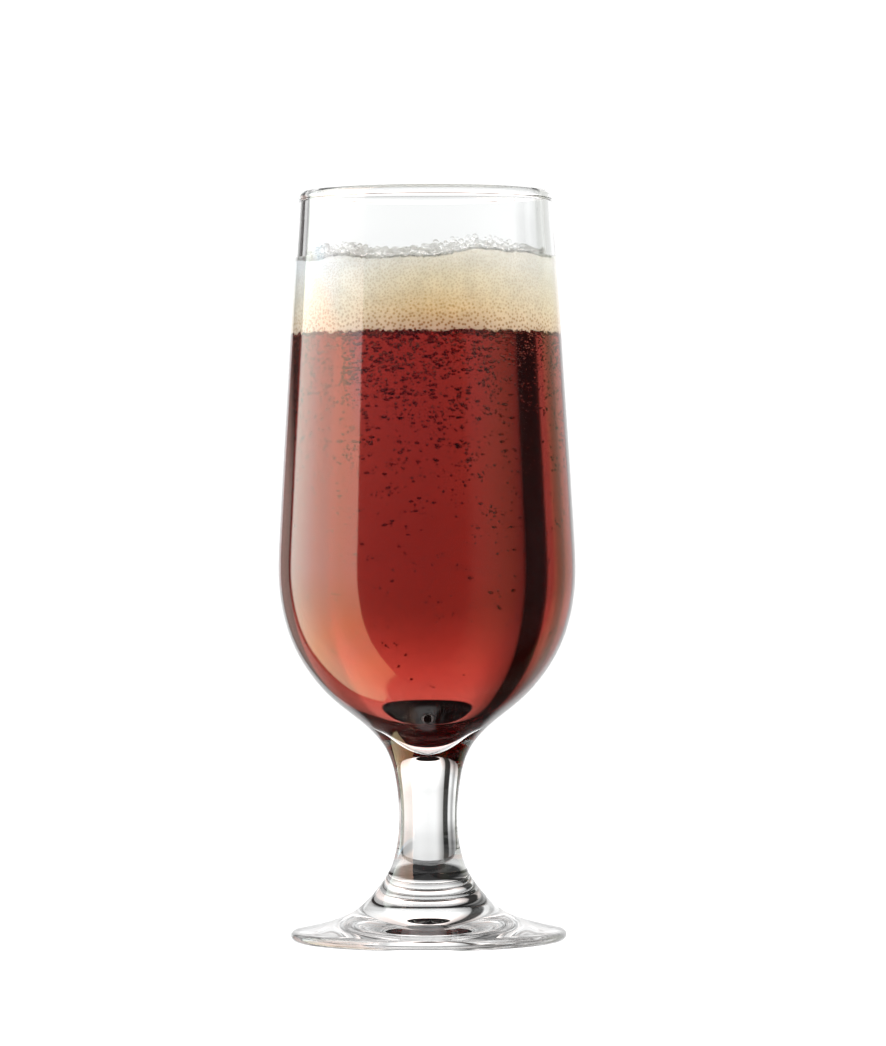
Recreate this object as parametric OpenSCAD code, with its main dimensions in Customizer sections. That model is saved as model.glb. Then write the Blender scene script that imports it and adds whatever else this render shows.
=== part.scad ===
// Footed beer glass: a tall bowl that widens gently downwards, a short solid
// stem and a round foot, filled with red ale under a head of foam.
// Millimetres. The glass stands on z = 0 and its axis is the Z axis.

/* [Bowl] */
// Height of the glass from the table to the top of the rim
glass_h = 182; // [165:1:200]
// Outside diameter of the bowl at its widest
bowl_d = 72.4; // [64:0.2:82]
// Outside diameter of the bowl just under the rim
mouth_d = 61.6; // [56:0.2:68]
// Thickness of the side wall
wall_t = 2.3; // [1.6:0.1:2.8]
// Thickness of the round bead that finishes the rim
bead_d = 2.6; // [2.2:0.1:3.2]

/* [Stem and foot] */
// Diameter of the stem at its narrowest
stem_d = 14.2; // [12:0.2:18]
// Outside diameter of the foot
foot_d = 67.1; // [60:0.1:76]
// Thickness of the foot at its rounded edge
lip_t = 2.5; // [2:0.1:3]
// Width of the flat ring that the glass stands on
ring_w = 3.8; // [2:0.1:6]
// Depth of the shallow hollow under the foot
hollow_h = 1.2; // [0.4:0.1:1.8]

/* [Drink] */
// Distance from the top of the rim down to the beer's surface
beer_drop = 34.2; // [30:0.2:60]
// Height of the foam where it meets the wall
foam_h = 18.8; // [8:0.2:22]
// Rise of the foam's crown above its edge
crown_h = 3; // [1:0.5:4]

/* [Hidden] */
$fn = 144;

// Scale factors of the control points below, which are drawn for a glass
// 182 tall, 72.4 across the bowl, 61.6 at the mouth, 67.1 across the foot.
kz = glass_h / 182;
kb = bowl_d / 72.4;
km = mouth_d / 61.6;
kf = foot_d / 67.1;
ks = stem_d / 14.2;
dw = wall_t - 2.3;

// Points of an arc in the half-plane [radius, height]
function arc(c, r, a0, a1, n) =
    [for (i = [0:n]) let (a = a0 + (a1 - a0) * i / n) [c[0] + r * cos(a), c[1] + r * sin(a)]];

// One point of a uniform cubic B-spline span
function span_pt(a, b, c, d, t) =
    (pow(1 - t, 3) * a + (3 * pow(t, 3) - 6 * t * t + 4) * b
     + (-3 * pow(t, 3) + 3 * t * t + 3 * t + 1) * c + pow(t, 3) * d) / 6;

// Number of straight steps in a span, by its length
function steps(b, c) = max(2, min(6, round(norm(c - b) / 1.2)));

// Smooth path that starts at the first control point and ends at the last
function smooth(p) =
    let (n = len(p), q = concat([p[0], p[0]], p, [p[n - 1], p[n - 1]]))
    concat(
        [for (i = [0:len(q) - 4], j = [0:steps(q[i + 1], q[i + 2]) - 1])
            span_pt(q[i], q[i + 1], q[i + 2], q[i + 3], j / steps(q[i + 1], q[i + 2]))],
        [p[n - 1]]);

// A path without its first point, to join it to the one before
function tail(p) = [for (i = [1:len(p) - 1]) p[i]];

// The part of a falling path at or below a height, cut on its own line
function under(p, z) =
    let (k = [for (i = [0:len(p) - 2]) if (p[i][1] > z && p[i + 1][1] <= z) i][0],
         t = (p[k][1] - z) / (p[k][1] - p[k + 1][1]))
    concat([[p[k][0] + (p[k + 1][0] - p[k][0]) * t, z]],
           [for (i = [k + 1:len(p) - 1]) if (p[i][1] < z - 0.001) p[i]]);

// Rounded edge of the foot, from the flat ring to its top
lip_r = lip_t / 2;
lip_c = [foot_d / 2 - lip_r, lip_r];
lip = arc(lip_c, lip_r, -90, 78, 12);

// The bead is a true arc, from below its outer side over to below its inner side
bead_r = bead_d / 2;
bead_c = [mouth_d / 2 - wall_t / 2 - 0.03, glass_h - bead_r];
bead = arc(bead_c, bead_r, -20, 215, 16);

// Outside of the glass from the top of the lip up to the rim
outer_pts = [
     lip[12],
     [30.4 * kf, 2.95 + lip_t - 2.5],
     [26.4 * kf, 3.9 * kz],
     [21.7 * kf, 5.2 * kz],
     [17.9 * kf, 7.0 * kz],
     [14.8 * kf, 9.7 * kz],
     [12.1 * kf, 12.8 * kz],
     [9.9 * ks, 16.0 * kz],
     [8.4 * ks, 19.5 * kz],
     [7.45 * ks, 24.0 * kz],
     [7.0 * ks, 29.0 * kz],
     [7.2 * ks, 34.5 * kz],
     [7.9 * ks, 40.0 * kz],
     [9.1 * ks, 44.6 * kz],
     [11.2 * kb, 48.3 * kz],
     [14.4 * kb, 51.8 * kz],
     [18.6 * kb, 55.1 * kz],
     [23.6 * kb, 58.9 * kz],
     [28.1 * kb, 64.0 * kz],
     [31.7 * kb, 69.6 * kz],
     [34.1 * kb, 75.4 * kz],
     [35.6 * kb, 81.8 * kz],
     [36.35 * kb, 89.0 * kz],
     [35.9 * kb, 98.0 * kz],
     [35.2 * kb, 110.0 * kz],
     [34.5 * (kb + km) / 2, 122.0 * kz],
     [33.6 * (kb + km) / 2, 136.0 * kz],
     [32.8 * (kb + 2 * km) / 3, 150.0 * kz],
     [31.95 * km, 163.0 * kz],
     [31.2 * km, 172.5 * kz],
     [30.85 * km, 177.0 * kz],
     [mouth_d / 2 - 0.03, glass_h - 3.0],
     bead[0] - 0.5 * [sin(20), cos(20)],
     bead[0]];

// Inside of the glass from the rim down to the bottom of the bowl
inner_pts = [
    bead[16],
    bead[16] + 0.1 * [sin(35), -cos(35)],
    [28.65 * km - dw, glass_h - 2.7],
    [28.67 * km - dw, glass_h - 3.6],
    [28.7 * km - dw, 176.5 * kz],
    [28.9 * km - dw, 172.5 * kz],
    [29.6 * km - dw, 163.0 * kz],
    [30.45 * (kb + 2 * km) / 3 - dw, 150.0 * kz],
    [31.25 * (kb + km) / 2 - dw, 136.0 * kz],
    [32.1 * (kb + km) / 2 - dw, 122.0 * kz],
    [32.8 * kb - dw, 110.0 * kz],
    [33.45 * kb - dw, 98.0 * kz],
    [33.8 * kb - dw, 89.5 * kz],
    [33.0 * kb - dw, 82.6 * kz],
    [31.4 * kb - dw, 76.6 * kz],
    [28.9 * kb - dw, 71.2 * kz],
    [25.3 * kb - dw, 66.2 * kz],
    [20.9 * kb - dw, 62.2 * kz],
    [16.2 * kb - dw, 59.2 * kz],
    [12.6 * kb - dw, 57.2 * kz],
    [10.0 * kb - dw, 55.6 * kz],
    [8.2 * kb - dw, 54.2 * kz],
    [6.9 * kb - dw, 52.8 * kz],
    [5.6, 51.2 * kz],
    [4.4, 49.7 * kz],
    [3.2, 48.4 * kz],
    [1.8, 47.2 * kz],
    [0, 46.6 * kz]];

outer = smooth(outer_pts);
inner = smooth(inner_pts);

// Underside: a shallow curved hollow inside the flat ring
ring_in = foot_d / 2 - lip_r - ring_w;
under_pts = [for (i = [0:10]) let (u = i / 10) [ring_in * u, hollow_h * (1 - u * u)]];

beer_z = glass_h - beer_drop;
foam_z = beer_z + foam_h;

module beer_glass() {
    color([0.86, 0.92, 0.93, 0.35])
        rotate_extrude()
            polygon(concat(under_pts, lip, tail(outer), tail(bead), tail(inner)));
}

module beer() {
    color([0.48, 0.07, 0.05])
        rotate_extrude()
            polygon(concat([[0, beer_z]], under(inner, beer_z)));
}

module foam_head() {
    w = under(inner, foam_z);
    color([0.93, 0.87, 0.74])
        rotate_extrude()
            polygon(concat(
                [for (i = [0:7]) let (u = i / 8) [w[0][0] * u, foam_z + crown_h * (1 - u * u)]],
                [for (p = w) if (p[1] > beer_z + 0.001) p],
                [under(inner, beer_z)[0], [0, beer_z]]));
}

beer_glass();
beer();
foam_head();
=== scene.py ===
import math

import bpy
import numpy as np
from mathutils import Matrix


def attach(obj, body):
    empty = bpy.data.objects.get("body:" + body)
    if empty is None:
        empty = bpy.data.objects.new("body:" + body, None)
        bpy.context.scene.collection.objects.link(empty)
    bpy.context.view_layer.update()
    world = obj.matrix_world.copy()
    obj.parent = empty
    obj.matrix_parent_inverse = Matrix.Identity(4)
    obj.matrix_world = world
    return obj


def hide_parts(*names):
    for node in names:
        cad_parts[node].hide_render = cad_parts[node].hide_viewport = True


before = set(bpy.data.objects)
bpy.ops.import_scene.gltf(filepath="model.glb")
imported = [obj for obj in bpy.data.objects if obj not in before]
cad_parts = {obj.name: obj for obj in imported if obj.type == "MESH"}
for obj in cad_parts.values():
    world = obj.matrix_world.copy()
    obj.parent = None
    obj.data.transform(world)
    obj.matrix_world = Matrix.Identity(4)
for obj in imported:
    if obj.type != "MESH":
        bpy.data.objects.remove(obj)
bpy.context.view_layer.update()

scene = bpy.context.scene
MM = 0.001
rng = np.random.default_rng(20)


# ---------------------------------------------------------------- profile of the glass, in millimetres
def arc(c, r, a0, a1, n):
    a = np.radians(np.linspace(a0, a1, n + 1))
    return [(c[0] + r * math.cos(t), c[1] + r * math.sin(t)) for t in a]


def smooth(points, per=6):
    """Uniform cubic B-spline that starts and ends at its end points."""
    p = [np.array(q, float) for q in points]
    q = [p[0], p[0]] + p + [p[-1], p[-1]]
    out = []
    for i in range(len(q) - 3):
        a, b, c, d = q[i : i + 4]
        n = max(2, min(per, int(round(np.linalg.norm(c - b) / 0.9))))
        for j in range(n):
            t = j / n
            out.append(
                ((1 - t) ** 3 * a + (3 * t**3 - 6 * t * t + 4) * b
                 + (-3 * t**3 + 3 * t * t + 3 * t + 1) * c + t**3 * d) / 6
            )
    out.append(p[-1])
    return [tuple(v) for v in out]


LIP = arc((32.3, 1.25), 1.25, -90, 78, 12)
BEAD = arc((29.62, 180.7), 1.3, -20, 215, 24)
s20, c20 = math.sin(math.radians(20)), math.cos(math.radians(20))
s35, c35 = math.sin(math.radians(35)), math.cos(math.radians(35))
OUTER = smooth(
    [LIP[-1], (30.4, 2.95), (26.4, 3.9), (21.7, 5.2), (17.9, 7.0), (14.8, 9.7), (12.1, 12.8),
     (9.9, 16.0), (8.4, 19.5), (7.45, 24.0), (7.0, 29.0), (7.2, 34.5), (7.9, 40.0), (9.1, 44.6),
     (11.2, 48.3), (14.4, 51.8), (18.6, 55.1), (23.6, 58.9), (28.1, 64.0), (31.7, 69.6),
     (34.1, 75.4), (35.6, 81.8), (36.35, 89.0), (35.9, 98.0), (35.2, 110.0), (34.5, 122.0),
     (33.6, 136.0), (32.8, 150.0), (31.95, 163.0), (31.2, 172.5), (30.85, 177.0),
     (30.77, 179.0), (BEAD[0][0] - 0.5 * s20, BEAD[0][1] - 0.5 * c20), BEAD[0]]
)
INNER = smooth(
    [BEAD[-1], (BEAD[-1][0] + 0.1 * s35, BEAD[-1][1] - 0.1 * c35), (28.65, 179.3), (28.67, 178.4), (28.7, 176.5),
     (28.9, 172.5), (29.6, 163.0), (30.45, 150.0), (31.25, 136.0), (32.1, 122.0), (32.8, 110.0),
     (33.45, 98.0), (33.8, 89.5), (33.0, 82.6), (31.4, 76.6), (28.9, 71.2), (25.3, 66.2),
     (20.9, 62.2), (16.2, 59.2), (12.6, 57.2), (10.0, 55.6), (8.2, 54.2), (6.9, 52.8), (5.6, 51.2),
     (4.4, 49.7), (3.2, 48.4), (1.8, 47.2), (0.0, 46.6)]
)
UNDER = [(28.5 * i / 10, 1.2 * (1 - (i / 10) ** 2)) for i in range(11)]
BEER_Z = 147.8
FOAM_Z = 166.6
_zi = np.array([p[1] for p in INNER])[::-1]
_ri = np.array([p[0] for p in INNER])[::-1]


def inner_r(z):
    """Inside radius of the bowl at a height."""
    return np.interp(z, _zi, _ri)


def inset(path, d):
    """A path moved to its left by d."""
    p = np.array(path, float)
    t = np.gradient(p, axis=0)
    t /= np.linalg.norm(t, axis=1)[:, None]
    q = p + d * np.stack([-t[:, 1], t[:, 0]], axis=1)
    q[:, 0] = np.maximum(q[:, 0], 0)
    return q


# ---------------------------------------------------------------- mesh helpers
def mesh_object(name, verts, faces, mats, index=None, flat=False):
    mesh = bpy.data.meshes.new(name)
    mesh.from_pydata([tuple(v) for v in verts], [], [tuple(f) for f in faces])
    for m in mats:
        mesh.materials.append(m)
    if index is not None:
        mesh.polygons.foreach_set("material_index", np.array(index, np.int32))
    mesh.polygons.foreach_set("use_smooth", np.full(len(mesh.polygons), not flat))
    mesh.update()
    o = bpy.data.objects.new(name, mesh)
    scene.collection.objects.link(o)
    return o


def lathe(profile, n, shape=None):
    """Vertices and faces of a profile turned round Z. It starts and ends on the axis, and runs so that its left side is inside."""
    p = np.array(profile, float)
    th = np.linspace(0, 2 * math.pi, n, endpoint=False)
    rows = p[1:-1]
    r = np.repeat(rows[:, 0][:, None], n, axis=1)
    z = np.repeat(rows[:, 1][:, None], n, axis=1)
    if shape is not None:
        r, z = shape(r, z, th[None, :])
    v = np.stack([r * np.cos(th), r * np.sin(th), z], axis=2).reshape(-1, 3)
    m = len(rows)
    verts = np.vstack([v, [[0, 0, p[0][1]]], [[0, 0, p[-1][1]]]]) * MM
    faces, row = [], []
    j = np.arange(n)
    k = (j + 1) % n
    first, last = m * n, m * n + 1
    for a, b in zip(j, k):
        faces.append((first, b, a))
        row.append(0)
    for i in range(m - 1):
        for a, b in zip(j, k):
            faces.append((i * n + a, i * n + b, (i + 1) * n + b, (i + 1) * n + a))
            row.append(i + 1)
    for a, b in zip(j, k):
        faces.append(((m - 1) * n + a, (m - 1) * n + b, last))
        row.append(m)
    return verts, faces, np.array(row)


# ---------------------------------------------------------------- node helpers
def new_material(name):
    m = bpy.data.materials.new(name)
    m.use_nodes = True
    m.node_tree.nodes.clear()
    return m, m.node_tree


def add(nt, kind, **values):
    n = nt.nodes.new(kind)
    for k, v in values.items():
        if k.startswith("in_"):
            key = k[3:].replace("_", " ")
            sock = n.inputs[int(key)] if key.isdigit() else n.inputs[key]
            if isinstance(v, bpy.types.NodeSocket):
                nt.links.new(v, sock)
            else:
                sock.default_value = v
        else:
            setattr(n, k, v)
    return n


def math_node(nt, op, a, b=None, c=None, clamp=False):
    n = nt.nodes.new("ShaderNodeMath")
    n.operation = op
    n.use_clamp = clamp
    for i, v in enumerate((a, b, c)):
        if v is None:
            continue
        if isinstance(v, bpy.types.NodeSocket):
            nt.links.new(v, n.inputs[i])
        else:
            n.inputs[i].default_value = v
    return n.outputs[0]


def ramp(nt, fac, stops, mode="LINEAR"):
    n = nt.nodes.new("ShaderNodeValToRGB")
    n.color_ramp.interpolation = mode
    e = n.color_ramp.elements
    while len(e) > 1:
        e.remove(e[-1])
    first = True
    for pos, col in stops:
        if isinstance(col, (int, float)):
            col = (col, col, col)
        if first:
            e[0].position = pos
            e[0].color = (*col, 1)
            first = False
        else:
            x = e.new(pos)
            x.color = (*col, 1)
    nt.links.new(fac, n.inputs["Fac"])
    return n.outputs["Color"]


def mix_colour(nt, fac, a, b, blend="MIX"):
    n = nt.nodes.new("ShaderNodeMix")
    n.data_type = "RGBA"
    n.blend_type = blend
    n.clamp_factor = True
    for key, v in ((0, fac), (6, a), (7, b)):
        if isinstance(v, bpy.types.NodeSocket):
            nt.links.new(v, n.inputs[key])
        elif key == 0:
            n.inputs[key].default_value = v
        else:
            n.inputs[key].default_value = (*v, 1)
    return n.outputs[2]


# ---------------------------------------------------------------- materials
def glass_material(name, ior):
    """Clear glass. A faint large-scale ripple in the surface, as pressed glass has."""
    m, nt = new_material(name)
    out = add(nt, "ShaderNodeOutputMaterial")
    co = add(nt, "ShaderNodeTexCoord").outputs["Object"]
    wave = add(nt, "ShaderNodeTexNoise", in_Vector=co, in_Scale=60.0, in_Detail=1.0, in_Roughness=0.4)
    bump = add(nt, "ShaderNodeBump", in_Strength=0.06, in_Distance=0.0006, in_Height=wave.outputs[0])
    p = add(nt, "ShaderNodeBsdfPrincipled", in_Normal=bump.outputs[0])
    p.inputs["Base Color"].default_value = (0.985, 0.992, 0.99, 1)
    p.inputs["Roughness"].default_value = 0.0
    p.inputs["IOR"].default_value = ior
    p.inputs["Transmission Weight"].default_value = 1.0
    nt.links.new(p.outputs[0], out.inputs["Surface"])
    return m


def beer_material():
    """Clear red ale: no surface of its own against the wet wall, only colour by depth."""
    m, nt = new_material("red_ale")
    out = add(nt, "ShaderNodeOutputMaterial")
    p = add(nt, "ShaderNodeBsdfPrincipled")
    p.inputs["Base Color"].default_value = (1, 1, 1, 1)
    p.inputs["Roughness"].default_value = 0.0
    p.inputs["IOR"].default_value = 1.0
    p.inputs["Transmission Weight"].default_value = 1.0
    v = add(nt, "ShaderNodeVolumeAbsorption", in_Density=100.0)
    v.inputs["Color"].default_value = (0.765, 0.34, 0.28, 1)
    nt.links.new(p.outputs[0], out.inputs["Surface"])
    nt.links.new(v.outputs[0], out.inputs["Volume"])
    return m


def foam_material():
    """Cream froth: pale cell walls round darker cells, larger and browner near the beer."""
    m, nt = new_material("foam")
    out = add(nt, "ShaderNodeOutputMaterial")
    tc = add(nt, "ShaderNodeTexCoord")
    co = tc.outputs["Object"]
    at = add(nt, "ShaderNodeSeparateXYZ", in_0=co)
    h = math_node(nt, "MULTIPLY", math_node(nt, "SUBTRACT", at.outputs["Z"], 0.1478), 1 / 0.0188, clamp=True)
    warp = add(nt, "ShaderNodeTexNoise", in_Vector=co, in_Scale=260.0, in_Detail=3.0)
    # painted shade: the foam is darker and browner round its front, towards -Y, than at its sides, where more light
    # falls
    round_ = math_node(nt, "ARCTAN2", at.outputs["X"], math_node(nt, "MULTIPLY", at.outputs["Y"], -1.0))
    off = math_node(nt, "SUBTRACT", round_, math.radians(5))
    front_shade_mask = math_node(nt, "EXPONENT", math_node(nt, "MULTIPLY", math_node(nt, "POWER", math_node(nt, "ABSOLUTE", off), 2.0), -3.1))
    # painted shade: a darker, browner copy of the foam colours, for the front
    shaded_front_colour = ramp(nt, h, [
        (0.0, (0.43, 0.18, 0.07)), (0.10, (0.54, 0.29, 0.095)), (0.23, (0.72, 0.475, 0.19)), (0.35, (0.73, 0.55, 0.295)),
        (0.5, (0.795, 0.68, 0.475)), (0.67, (0.82, 0.755, 0.60)), (0.84, (0.84, 0.82, 0.76)), (0.94, (0.87, 0.87, 0.84)),
        (1.0, (0.90, 0.90, 0.90))])
    cream = ramp(nt, h, [
        (0.0, (0.70, 0.50, 0.32)), (0.10, (0.78, 0.61, 0.41)), (0.25, (0.81, 0.71, 0.54)), (0.5, (0.83, 0.79, 0.70)),
        (0.8, (0.86, 0.87, 0.87)), (1.0, (0.90, 0.91, 0.92))])
    # painted shade: the darker copy is laid over the front of the foam
    base = mix_colour(nt, front_shade_mask, cream, shaded_front_colour)
    unrolled = add(nt, "ShaderNodeCombineXYZ", in_X=math_node(nt, "MULTIPLY", round_, 0.0305), in_Y=at.outputs["Z"]).outputs[0]
    cell = add(nt, "ShaderNodeTexVoronoi", voronoi_dimensions="2D", feature="F1", in_Vector=unrolled, in_Scale=1400.0, in_Randomness=0.9)
    big = add(nt, "ShaderNodeTexVoronoi", voronoi_dimensions="2D", feature="F1", in_Vector=unrolled, in_Scale=980.0, in_Randomness=0.85)
    heap = add(nt, "ShaderNodeTexVoronoi", feature="F1", in_Vector=co, in_Scale=1300.0)
    wall_s = ramp(nt, cell.outputs["Distance"], [(0.0, 0.0), (0.18, 0.1), (0.38, 1.0)])
    wall_b = ramp(nt, big.outputs["Distance"], [(0.0, 0.0), (0.16, 0.1), (0.38, 1.0)])
    wall_t = ramp(nt, heap.outputs["Distance"], [(0.0, 0.0), (0.3, 0.1), (0.5, 1.0)])
    low = ramp(nt, h, [(0.0, 1.0), (0.2, 0.8), (0.6, 0.0)])
    wall = mix_colour(nt, low, wall_s, wall_b)
    wall = mix_colour(nt, ramp(nt, h, [(0.90, 0.0), (0.95, 1.0)]), wall, wall_t)
    dark = mix_colour(nt, 1.0, base, (0.62, 0.48, 0.33), "MULTIPLY")
    pale = mix_colour(nt, 0.4, base, (1.0, 0.96, 0.88))
    cells = mix_colour(nt, wall, dark, pale)
    amount = ramp(nt, h, [(0.0, 0.8), (0.2, 0.65), (0.45, 0.4), (0.7, 0.28), (1.0, 0.15)])
    colour = mix_colour(nt, amount, base, cells)
    patch = ramp(nt, warp.outputs[0], [(0.35, 0.94), (0.65, 1.04)])
    colour = mix_colour(nt, 1.0, colour, patch, "MULTIPLY")
    bump = add(nt, "ShaderNodeBump", in_Strength=0.35, in_Distance=0.0003, in_Height=wall)
    p = add(nt, "ShaderNodeBsdfPrincipled", in_Normal=bump.outputs[0])
    nt.links.new(colour, p.inputs["Base Color"])
    p.inputs["Roughness"].default_value = 0.6
    p.inputs["Specular IOR Level"].default_value = 0.2
    nt.links.new(p.outputs[0], out.inputs["Surface"])
    return m


def froth_material():
    """The airy bubbles heaped on top of the foam."""
    m, nt = new_material("froth_bubbles")
    out = add(nt, "ShaderNodeOutputMaterial")
    co = add(nt, "ShaderNodeTexCoord").outputs["Object"]
    n = add(nt, "ShaderNodeTexNoise", in_Vector=co, in_Scale=900.0, in_Detail=2.0)
    col = ramp(nt, n.outputs[0], [(0.3, (0.95, 0.95, 0.945)), (0.7, (1.0, 1.0, 1.0))])
    p = add(nt, "ShaderNodeBsdfPrincipled")
    nt.links.new(col, p.inputs["Base Color"])
    p.inputs["Roughness"].default_value = 0.03
    p.inputs["Transmission Weight"].default_value = 0.96
    p.inputs["IOR"].default_value = 1.06
    nt.links.new(p.outputs[0], out.inputs["Surface"])
    return m


def bubble_material():
    """Air bubbles in the beer: light bends away as it enters them."""
    m, nt = new_material("air_bubbles")
    out = add(nt, "ShaderNodeOutputMaterial")
    co = add(nt, "ShaderNodeTexCoord").outputs["Object"]
    n = add(nt, "ShaderNodeTexNoise", in_Vector=co, in_Scale=400.0, in_Detail=1.0)
    col = ramp(nt, n.outputs[0], [(0.3, (0.74, 0.47, 0.43)), (0.7, (0.88, 0.62, 0.58))])
    g = add(nt, "ShaderNodeBsdfGlass", in_Roughness=0.0, in_IOR=0.746)
    nt.links.new(col, g.inputs["Color"])
    nt.links.new(g.outputs[0], out.inputs["Surface"])
    return m


def floor_material():
    m, nt = new_material("pale_floor")
    out = add(nt, "ShaderNodeOutputMaterial")
    p = add(nt, "ShaderNodeBsdfPrincipled")
    p.inputs["Base Color"].default_value = (0.45, 0.45, 0.45, 1)
    p.inputs["Roughness"].default_value = 1.0
    p.inputs["Specular IOR Level"].default_value = 0.0
    p.inputs["Emission Color"].default_value = (1, 1, 1, 1)
    p.inputs["Emission Strength"].default_value = 0.85
    nt.links.new(p.outputs[0], out.inputs["Surface"])
    return m


# ---------------------------------------------------------------- the glass
DRY = glass_material("clear_glass", 1.52)
WET = glass_material("clear_glass_wetted", 1.52 / 1.34)
profile = UNDER + LIP[1:] + OUTER[1:] + BEAD[1:] + INNER[1:]
inner_from = len(UNDER) + len(LIP[1:]) + len(OUTER[1:]) + len(BEAD[1:]) - 1
verts, faces, row = lathe(profile, 256)
mid_z = np.array([(profile[i][1] + profile[min(i + 1, len(profile) - 1)][1]) / 2 for i in range(len(profile))])
index = [1 if (i >= inner_from and mid_z[i] < FOAM_Z) else 0 for i in row]
glass = mesh_object("drinking_glass", verts, faces, [DRY, WET], index)
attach(glass, "root")
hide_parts("beer_glass")

# ---------------------------------------------------------------- the beer
wall = [p for p in INNER if p[1] < BEER_Z - 0.05]
wall = [(float(inner_r(BEER_Z - 0.05)), BEER_Z - 0.05)] + wall
wall = np.array(wall[::-1])                      # from the axis at the bottom up the wall
side = inset(wall, 0.05)
side[0] = (0.0, 46.65)
path = [tuple(p) for p in side] + [(side[-1][0] * f, BEER_Z - 0.05) for f in (0.97, 0.85, 0.6, 0.3, 0.0)]
verts, faces, row = lathe(path, 256)
beer = mesh_object("red_ale", verts, faces, [beer_material()])
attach(beer, "root")
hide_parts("beer")


# ---------------------------------------------------------------- the foam
HUMPS = [(12.0, -6.0, 4.6, 9.0), (-20.0, -10.0, 3.0, 7.5), (2.0, 14.0, 2.2, 9.0), (22.0, 8.0, 1.2, 7.0),
         (-9.0, 6.0, 1.2, 7.0), (-24.0, 12.0, 1.0, 6.0)]


def foam_top(x, y, share=1.0):
    """Height of the froth over a point of the bowl, or of the dense foam for a share of its rise."""
    h = np.zeros_like(x)
    for cx, cy, a, s in HUMPS:
        h = h + a * np.exp(-((x - cx) ** 2 + (y - cy) ** 2) / (2 * s * s))
    edge = np.clip((30.0 - np.hypot(x, y)) / 3.0, 0, 1)
    return 165.4 + (0.5 + h) * share * edge * edge * (3 - 2 * edge)


def lobes(th, n, depth, seed):
    """Rounded lobes of uneven width round the wall."""
    g = np.random.default_rng(seed)
    cuts = np.sort(g.uniform(0, 2 * math.pi, n))
    d = g.uniform(0.35, 1.0, n) * depth
    k = np.searchsorted(cuts, th % (2 * math.pi)) % n
    a = cuts[k - 1]
    b = cuts[k]
    w = (b - a) % (2 * math.pi)
    t = ((th - a) % (2 * math.pi)) / np.maximum(w, 1e-6)
    return d[k] * np.sqrt(np.clip(1 - (2 * np.clip(t, 0, 1) - 1) ** 2, 0, 1)) * np.clip(w / 0.03, 0.2, 1)


NF = 640
thf = np.linspace(0, 2 * math.pi, NF, endpoint=False)
rows_r, rows_z = [], []
low_edge = 147.75 - lobes(thf, 200, 1.0, 5)
high_edge = (164.9 + 0.75 * np.sin(2 * thf + 2.9) + 0.5 * np.sin(5 * thf + 0.6) + 0.3 * np.sin(11 * thf + 2.0)
             + lobes(thf, 90, 0.5, 9))
n_up = 26
for i in range(n_up):                              # up the wall
    t = i / (n_up - 1)
    z = low_edge + (high_edge - low_edge) * t
    rows_z.append(z)
    rows_r.append(inner_r(z) - 0.03)
for d, dz in ((0.05, 0.12), (0.18, 0.22), (0.5, 0.28)):
    rows_r.append(inner_r(high_edge) - d)
    rows_z.append(high_edge + dz)
for r0 in list(np.linspace(28.2, 1.0, 42)):
    x, y = r0 * np.cos(thf), r0 * np.sin(thf)
    rows_r.append(np.full(NF, r0))
    rows_z.append(np.maximum(foam_top(x, y, 0.3), 165.0) + (high_edge - 164.9) * max(0.0, (r0 - 20.0) / 8.2))
R, Z = np.array(rows_r), np.array(rows_z)
inside_r = [29.9, 28.5, 20.0, 10.0, 2.0]           # the underside, from the middle out
Rb = np.array([np.full(NF, r) for r in inside_r[::-1]])
Zb = np.array([np.full(NF, 147.76) for r in inside_r[::-1]])
R = np.vstack([Rb, R])
Z = np.vstack([Zb, Z])
m = len(R)
v = np.stack([R * np.cos(thf), R * np.sin(thf), Z], axis=2).reshape(-1, 3)
verts = np.vstack([v, [[0, 0, 147.76]], [[0, 0, float(foam_top(np.zeros(1), np.zeros(1), 0.3)[0])]]]) * MM
faces = []
j = np.arange(NF)
k = (j + 1) % NF
for a, b in zip(j, k):
    faces.append((m * NF, b, a))
for i in range(m - 1):
    for a, b in zip(j, k):
        faces.append((i * NF + a, i * NF + b, (i + 1) * NF + b, (i + 1) * NF + a))
for a, b in zip(j, k):
    faces.append(((m - 1) * NF + a, (m - 1) * NF + b, m * NF + 1))
foam = mesh_object("foam_body", verts, faces, [foam_material()])
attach(foam, "root")
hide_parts("foam_head")


# ---------------------------------------------------------------- spheres
def icosphere(sub):
    import bmesh

    bm = bmesh.new()
    bmesh.ops.create_icosphere(bm, subdivisions=sub, radius=1.0)
    v = np.array([x.co[:] for x in bm.verts])
    f = np.array([[y.index for y in x.verts] for x in bm.faces])
    bm.free()
    return v, f


def spheres(name, centres, radii, sub, mat):
    v, f = icosphere(sub)
    n = len(centres)
    vs = (v[None] * np.asarray(radii)[:, None, None] + np.asarray(centres)[:, None, :]).reshape(-1, 3) * MM
    fs = (f[None] + (np.arange(n) * len(v))[:, None, None]).reshape(-1, 3)
    return mesh_object(name, vs, fs.tolist(), [mat])


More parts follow.
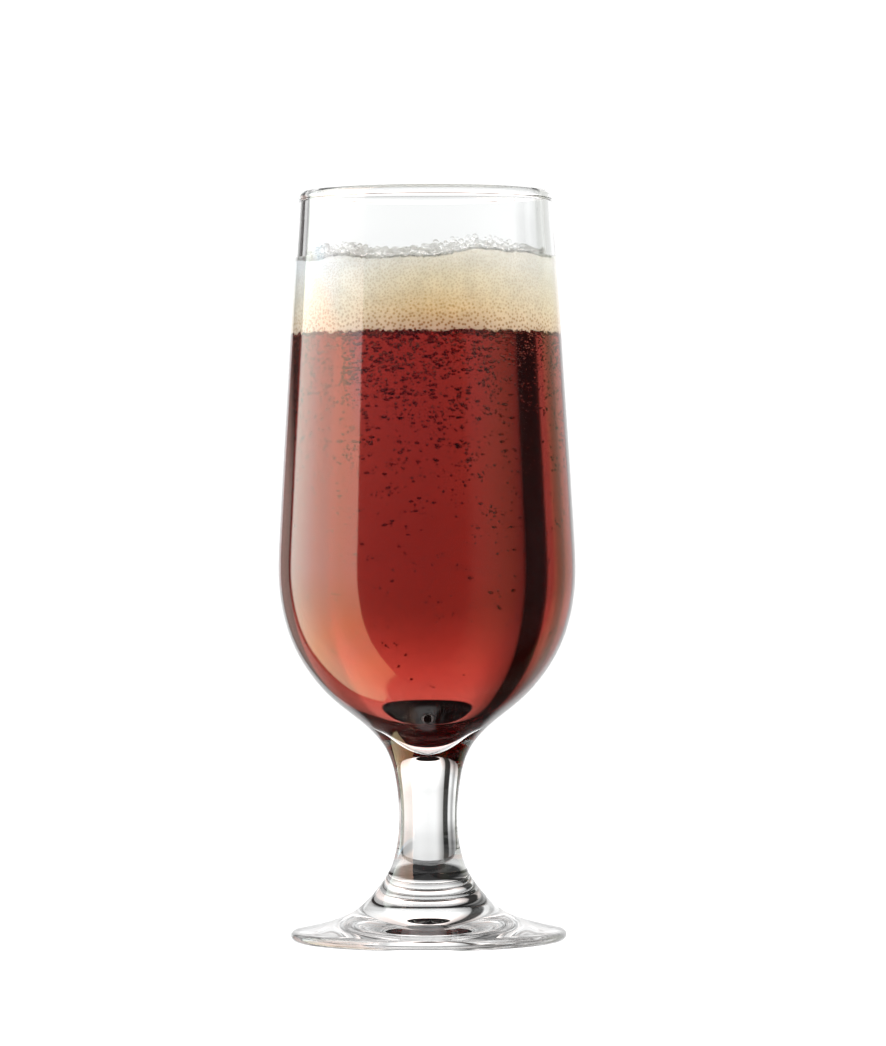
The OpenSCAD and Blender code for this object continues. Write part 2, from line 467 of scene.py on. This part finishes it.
# froth on top of the foam
g = np.random.default_rng(7)
cs, rs = [], []
for i in range(2300):
    a = g.uniform(0, 2 * math.pi)
    if i < 800:                                    # against the wall
        rad = 0.25 + 0.5 * g.uniform() ** 2.0
        z = float(np.interp(a, thf, high_edge)) + 1.9 * g.uniform() ** 1.6
        rr = float(inner_r(z)) - rad - 0.05
        cs.append((rr * math.cos(a), rr * math.sin(a), z))
        rs.append(rad)
        continue
    rr = 29.6 * math.sqrt(g.uniform(0, 1))
    x, y = rr * math.cos(a), rr * math.sin(a)
    rad = 0.28 + 0.55 * g.uniform(0, 1) ** 2.2
    top = float(foam_top(np.array([x]), np.array([y]))[0])
    dense = float(foam_top(np.array([x]), np.array([y]), 0.3)[0])
    top = dense + (top - dense) * g.uniform() ** 0.7
    if rr > inner_r(top) - rad - 0.05:
        s = (inner_r(top) - rad - 0.05) / rr
        x, y = x * s, y * s
    cs.append((x, y, top + g.uniform(-0.15, 0.5)))
    rs.append(rad)
froth = spheres("froth_bubbles", cs, rs, 2, froth_material())
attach(froth, "root")
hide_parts("foam_head")

# air bubbles that cling to the inside of the wall, dense under the foam
def cling(z, a, rad):
    rr = float(inner_r(z)) - rad - 0.08
    return rr * math.cos(a), rr * math.sin(a), z


cs, rs = [], []
g = np.random.default_rng(11)
while len(cs) < 5600:
    z = BEER_Z - 0.8 - g.exponential(17.0) if g.uniform() < 0.9 else g.uniform(68.0, 146.0)
    if z < 68:
        continue
    a = g.uniform(0, 2 * math.pi)
    n_here = 1 + int(g.exponential(1.8))
    for _ in range(n_here):
        rad = 0.14 + 0.26 * g.uniform() ** 1.7 * min(1.0, 0.4 + (z - 66) / 90)
        zz = z + g.normal(0, 0.7)
        aa = a + g.normal(0, 0.04)
        if zz > BEER_Z - 0.6 or zz < 64:
            continue
        if 21 < abs(math.degrees(aa) - 90) < 37:       # the bowl would smear these into dashes at its outline
            continue
        cs.append(cling(zz, aa, rad))
        rs.append(rad)
cs, rs = np.array(cs), np.array(rs)
air = bubble_material()
order = np.argsort(-rs)
edge_c, edge_r = [], []
for _ in range(800):
    rad = g.uniform(0.2, 0.38)
    edge_r.append(rad)
    edge_c.append(cling(BEER_Z - rad - 0.08 - abs(g.normal(0, 0.5)), g.uniform(0, 2 * math.pi), rad))
for part, c, r, sub in (("air_bubbles", cs[order[:2100]], rs[order[:2100]], 2), ("fine_air_bubbles", cs[order[2100:]], rs[order[2100:]], 1),
                        ("bubbles_under_foam", edge_c, edge_r, 2)):
    bubbles = spheres(part, c, r, sub, air)
    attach(bubbles, "root")

# ---------------------------------------------------------------- floor
ring = [(0.45 * math.cos(a), 0.45 * math.sin(a), 0.0) for a in np.linspace(0, 2 * math.pi, 96, endpoint=False)]
floor = mesh_object("floor", ring, [tuple(range(96))], [floor_material()], flat=True)
floor.visible_glossy = floor.visible_transmission = floor.visible_diffuse = False

# ---------------------------------------------------------------- studio light
world = bpy.data.worlds.new("studio")
scene.world = world
world.use_nodes = True
nt = world.node_tree
nt.nodes.clear()
out = add(nt, "ShaderNodeOutputWorld")
bg = add(nt, "ShaderNodeBackground")
xyz = add(nt, "ShaderNodeSeparateXYZ", in_0=add(nt, "ShaderNodeTexCoord").outputs["Generated"])
# turn from +Y towards +X, as 0 to 1 with +Y at 0.5
az = math_node(nt, "ADD", math_node(nt, "DIVIDE", math_node(nt, "ARCTAN2", xyz.outputs["X"], xyz.outputs["Y"]), 2 * math.pi), 0.5)
el = math_node(nt, "ADD", math_node(nt, "DIVIDE", math_node(nt, "ARCSINE", xyz.outputs["Z"]), math.pi), 0.5)


def turn(deg):
    return deg / 360 + 0.5


def rise(deg):
    return deg / 180 + 0.5


def panels(stops):
    """Stops given in degrees to the right of +Y."""
    return [(min(max(turn(d), 0.0), 1.0), c) for d, c in stops]


through = ramp(nt, az, panels([
    (-180, 0.6), (-140, 0.65), (-112, 0.85), (-75, 1.0), (-73, 0.3), (-66, 0.1), (-59.5, 0.1), (-57, 1.2), (-47, 0.9), (-44, 0.4), (-39, 0.55),
    (-36.5, 0.9), (-32, 0.9), (-30.8, 0.03), (-22.3, 0.03), (-21.3, 0.43), (-18.5, 0.62), (-15.5, 0.78), (-12, 0.97), (-9, 1.05),
    (0, 1.02), (21.5, 1.15), (23, 0.75), (44, 0.75), (45.5, 0.03), (58, 0.03), (60, 0.75), (90, 1.0), (112, 0.85), (140, 0.65), (180, 0.6)]))
up = ramp(nt, el, [
    (rise(-90), 0.03), (rise(-52), 0.06), (rise(-42), 0.9), (rise(0), 1.05), (rise(2.2), 1.05), (rise(3.2), 1.02), (rise(5), 1.07),
    (rise(7.5), 1.28), (rise(10), 1.55), (rise(13), 1.9), (rise(16), (2.2, 2.1, 2.05)), (rise(22), (2.2, 1.95, 1.87)),
    (rise(46), (2.2, 1.95, 1.87)), (rise(49), 0.02), (rise(90), 0.02)])
through = mix_colour(nt, 1.0, through, up, "MULTIPLY")
# a round dark flag high on each side: how far a direction is from its middle, 1 at its edge
side = math_node(nt, "MULTIPLY", math_node(nt, "PINGPONG", math_node(nt, "ADD", az, 0.0), 0.125), 360.0 / 15.4)
lift = math_node(nt, "SUBTRACT", math_node(nt, "MULTIPLY", el, 180.0), 90.0 + 34.2)
lift = math_node(nt, "DIVIDE", lift, math_node(nt, "ADD", 9.0, math_node(nt, "MULTIPLY", math_node(nt, "GREATER_THAN", lift, 0.0), 3.0)))
flag = math_node(nt, "SQRT", math_node(nt, "ADD", math_node(nt, "POWER", side, 2.0), math_node(nt, "POWER", lift, 2.0)))
flag = ramp(nt, math_node(nt, "MULTIPLY", flag, 0.5), [(0.0, 0.002), (0.485, 0.002), (0.515, 1.0), (1.0, 1.0)])
through = mix_colour(nt, 1.0, through, flag, "MULTIPLY")
# flags beside and under the backdrop, seen by the foot and the lower bowl only
beside = ramp(nt, az, panels([(-180, 0.0), (-70, 0.0), (-62, 1.0), (-28, 1.0), (-22, 0.7), (-12, 0.22), (12, 0.22), (30, 0.5), (62, 0.5), (80, 0.0), (180, 0.0)]))
away = ramp(nt, el, [(rise(-90), 0.9), (rise(-45), 0.8), (rise(-20), 0.65), (rise(-12), 0.5), (rise(-5), 0.0), (rise(7), 0.0), (rise(14), 0.5), (rise(30), 0.8), (rise(90), 0.95)])
through = mix_colour(nt, math_node(nt, "MULTIPLY", beside, away), through, (0.02, 0.02, 0.02))
# less light from high on the camera's side, which only the flare of the stem bends into view
behind = ramp(nt, az, panels([(-180, 0.55), (-108, 0.55), (-98, 0.0), (98, 0.0), (108, 0.55), (180, 0.55)]))
high = ramp(nt, el, [(rise(-90), 0.0), (rise(7), 0.0), (rise(12), 1.0), (rise(90), 1.0)])
through = mix_colour(nt, math_node(nt, "MULTIPLY", behind, high), through, (0.02, 0.02, 0.02))
# a narrow flag at each side of the table's far edge, which darkens the foot's rounded edge
wing = ramp(nt, az, panels([(-180, 0.0), (-92, 0.0), (-86, 0.85), (-74, 0.85), (-70, 0.0), (57, 0.0), (60, 0.85), (84, 0.85), (90, 0.0), (180, 0.0)]))
lie = ramp(nt, el, [(rise(-90), 0.0), (rise(3), 0.0), (rise(5.5), 1.0), (rise(20), 1.0), (rise(26), 0.3), (rise(40), 0.0), (rise(90), 0.0)])
through = mix_colour(nt, math_node(nt, "MULTIPLY", wing, lie), through, (0.02, 0.02, 0.02))
mirror = ramp(nt, az, panels([
    (-180, (0.08, 0.06, 0.08)), (-128, (0.1, 0.08, 0.1)), (-125.3, (0.12, 0.09, 0.1)), (-124, (5.7, 3.6, 2.75)), (-118, (5.6, 3.6, 2.7)),
    (-110, (5.2, 3.6, 2.6)), (-103, (5.2, 3.8, 2.85)), (-92, (5.7, 4.05, 3.3)), (-84, (5.8, 4.15, 3.4)), (-72, (5.0, 4.5, 3.95)),
    (-64, (4.6, 4.4, 3.9)), (-52, (3.5, 3.9, 3.5)), (-49.8, (3.2, 3.4, 3.1)), (-48.5, 0.1), (-46, 0.08), (-44.5, 0.0), (66, 0.0), (70, 0.02), (101, 0.02),
    (106, (0.08, 0.09, 0.04)), (114, (0.17, 0.19, 0.1)), (128, (0.32, 0.29, 0.19)), (142, (0.45, 0.22, 0.18)), (150, 0.03),
    (180, (0.08, 0.06, 0.08))]))
tall = ramp(nt, el, [
    (rise(-90), 0.02), (rise(-68), 0.02), (rise(-65), (0.5, 0.42, 0.26)), (rise(-52), (0.7, 0.58, 0.36)), (rise(-42), (0.72, 0.62, 0.45)),
    (rise(-26), (0.95, 0.72, 0.47)), (rise(-12), (0.97, 0.88, 0.75)), (rise(0), 1.0), (rise(7.35), 1.0),
    (rise(7.6), (0.68, 0.93, 1.2)), (rise(9.5), (0.64, 0.86, 1.1)), (rise(9.9), 0.12), (rise(10.6), 0.1), (rise(10.8), 0.02),
    (rise(14), 0.02), (rise(18), 0.9), (rise(50), 0.9), (rise(56), 0.15), (rise(90), 0.15)])
mirror = mix_colour(nt, 1.0, mirror, tall, "MULTIPLY")
backdrop = ramp(nt, az, panels([
    (-180, 0.0), (-23, 0.0), (-21.5, 1.1), (21.5, 1.1), (26, 0.75), (42, (0.6, 0.63, 0.5)),
    (53, (0.4, 0.42, 0.27)), (61, (0.2, 0.25, 0.12)), (66, 0.02), (180, 0.0)]))
band = ramp(nt, el, [(rise(-90), 0.03), (rise(-34), 0.08), (rise(-24), 1.0), (rise(20), 1.0), (rise(30), 0.08), (rise(90), 0.03)])
mirror = mix_colour(nt, 1.0, mirror, mix_colour(nt, 1.0, backdrop, band, "MULTIPLY"), "ADD")
strip = ramp(nt, az, panels([(-180, 0.0), (-45.5, 0.0), (-43.5, (1.1, 0.75, 0.65)), (-30, (0.9, 0.6, 0.52)), (-24, (0.5, 0.4, 0.36)), (-21.5, 0.0), (180, 0.0)]))
low = ramp(nt, el, [(rise(-90), 0.05), (rise(-34), 0.2), (rise(-20), 1.0), (rise(2.4), 1.0), (rise(3.4), 0.1), (rise(90), 0.05)])
mirror = mix_colour(nt, 1.0, mirror, mix_colour(nt, 1.0, strip, low, "MULTIPLY"), "ADD")
lit = ramp(nt, az, panels([
    (-180, (1.62, 1.42, 1.12)), (-140, (1.7, 1.6, 1.42)), (-100, (2.2, 2.45, 2.75)), (-40, (2.2, 2.3, 2.4)), (0, (2.15, 2.12, 2.0)),
    (60, (2.3, 2.25, 2.12)), (110, (2.24, 2.16, 2.0)), (150, (1.68, 1.53, 1.25)), (180, (1.62, 1.42, 1.12))]))
low_lamps = ramp(nt, el, [(rise(-90), 1.35), (rise(0), 1.33), (rise(12), 1.2), (rise(22), 0.78), (rise(32), 0.55), (rise(45), 0.46), (rise(90), 0.46)])
lit = mix_colour(nt, 1.0, lit, low_lamps, "MULTIPLY")
path_info = add(nt, "ShaderNodeLightPath")
colour = mix_colour(nt, path_info.outputs["Is Transmission Ray"], mirror, through)
colour = mix_colour(nt, math_node(nt, "GREATER_THAN", path_info.outputs["Diffuse Depth"], 0.5), colour, lit)
colour = mix_colour(nt, path_info.outputs["Is Camera Ray"], colour, (1.1, 1.1, 1.1))
nt.links.new(colour, bg.inputs["Color"])
nt.links.new(bg.outputs[0], out.inputs["Surface"])
world.cycles.sampling_method = "NONE"

# ---------------------------------------------------------------- camera
cam_data = bpy.data.cameras.new("camera")
cam = bpy.data.objects.new("camera", cam_data)
scene.collection.objects.link(cam)
cam_data.sensor_width = 36.0
cam_data.lens = 169.7
cam_data.clip_start, cam_data.clip_end = 0.01, 50.0
cam.rotation_mode = "XYZ"
cam.location = (0.00395, -1.2, 0.106)
cam.rotation_euler = (math.radians(90 - 0.22), math.radians(0.27), 0.0)
scene.camera = cam

scene.view_settings.view_transform = "Standard"
scene.view_settings.look = "None"
scene.cycles.max_bounces = 32
scene.cycles.diffuse_bounces = 4
scene.cycles.glossy_bounces = 24
scene.cycles.transmission_bounces = 32
scene.cycles.transparent_max_bounces = 16
scene.cycles.use_denoising = True
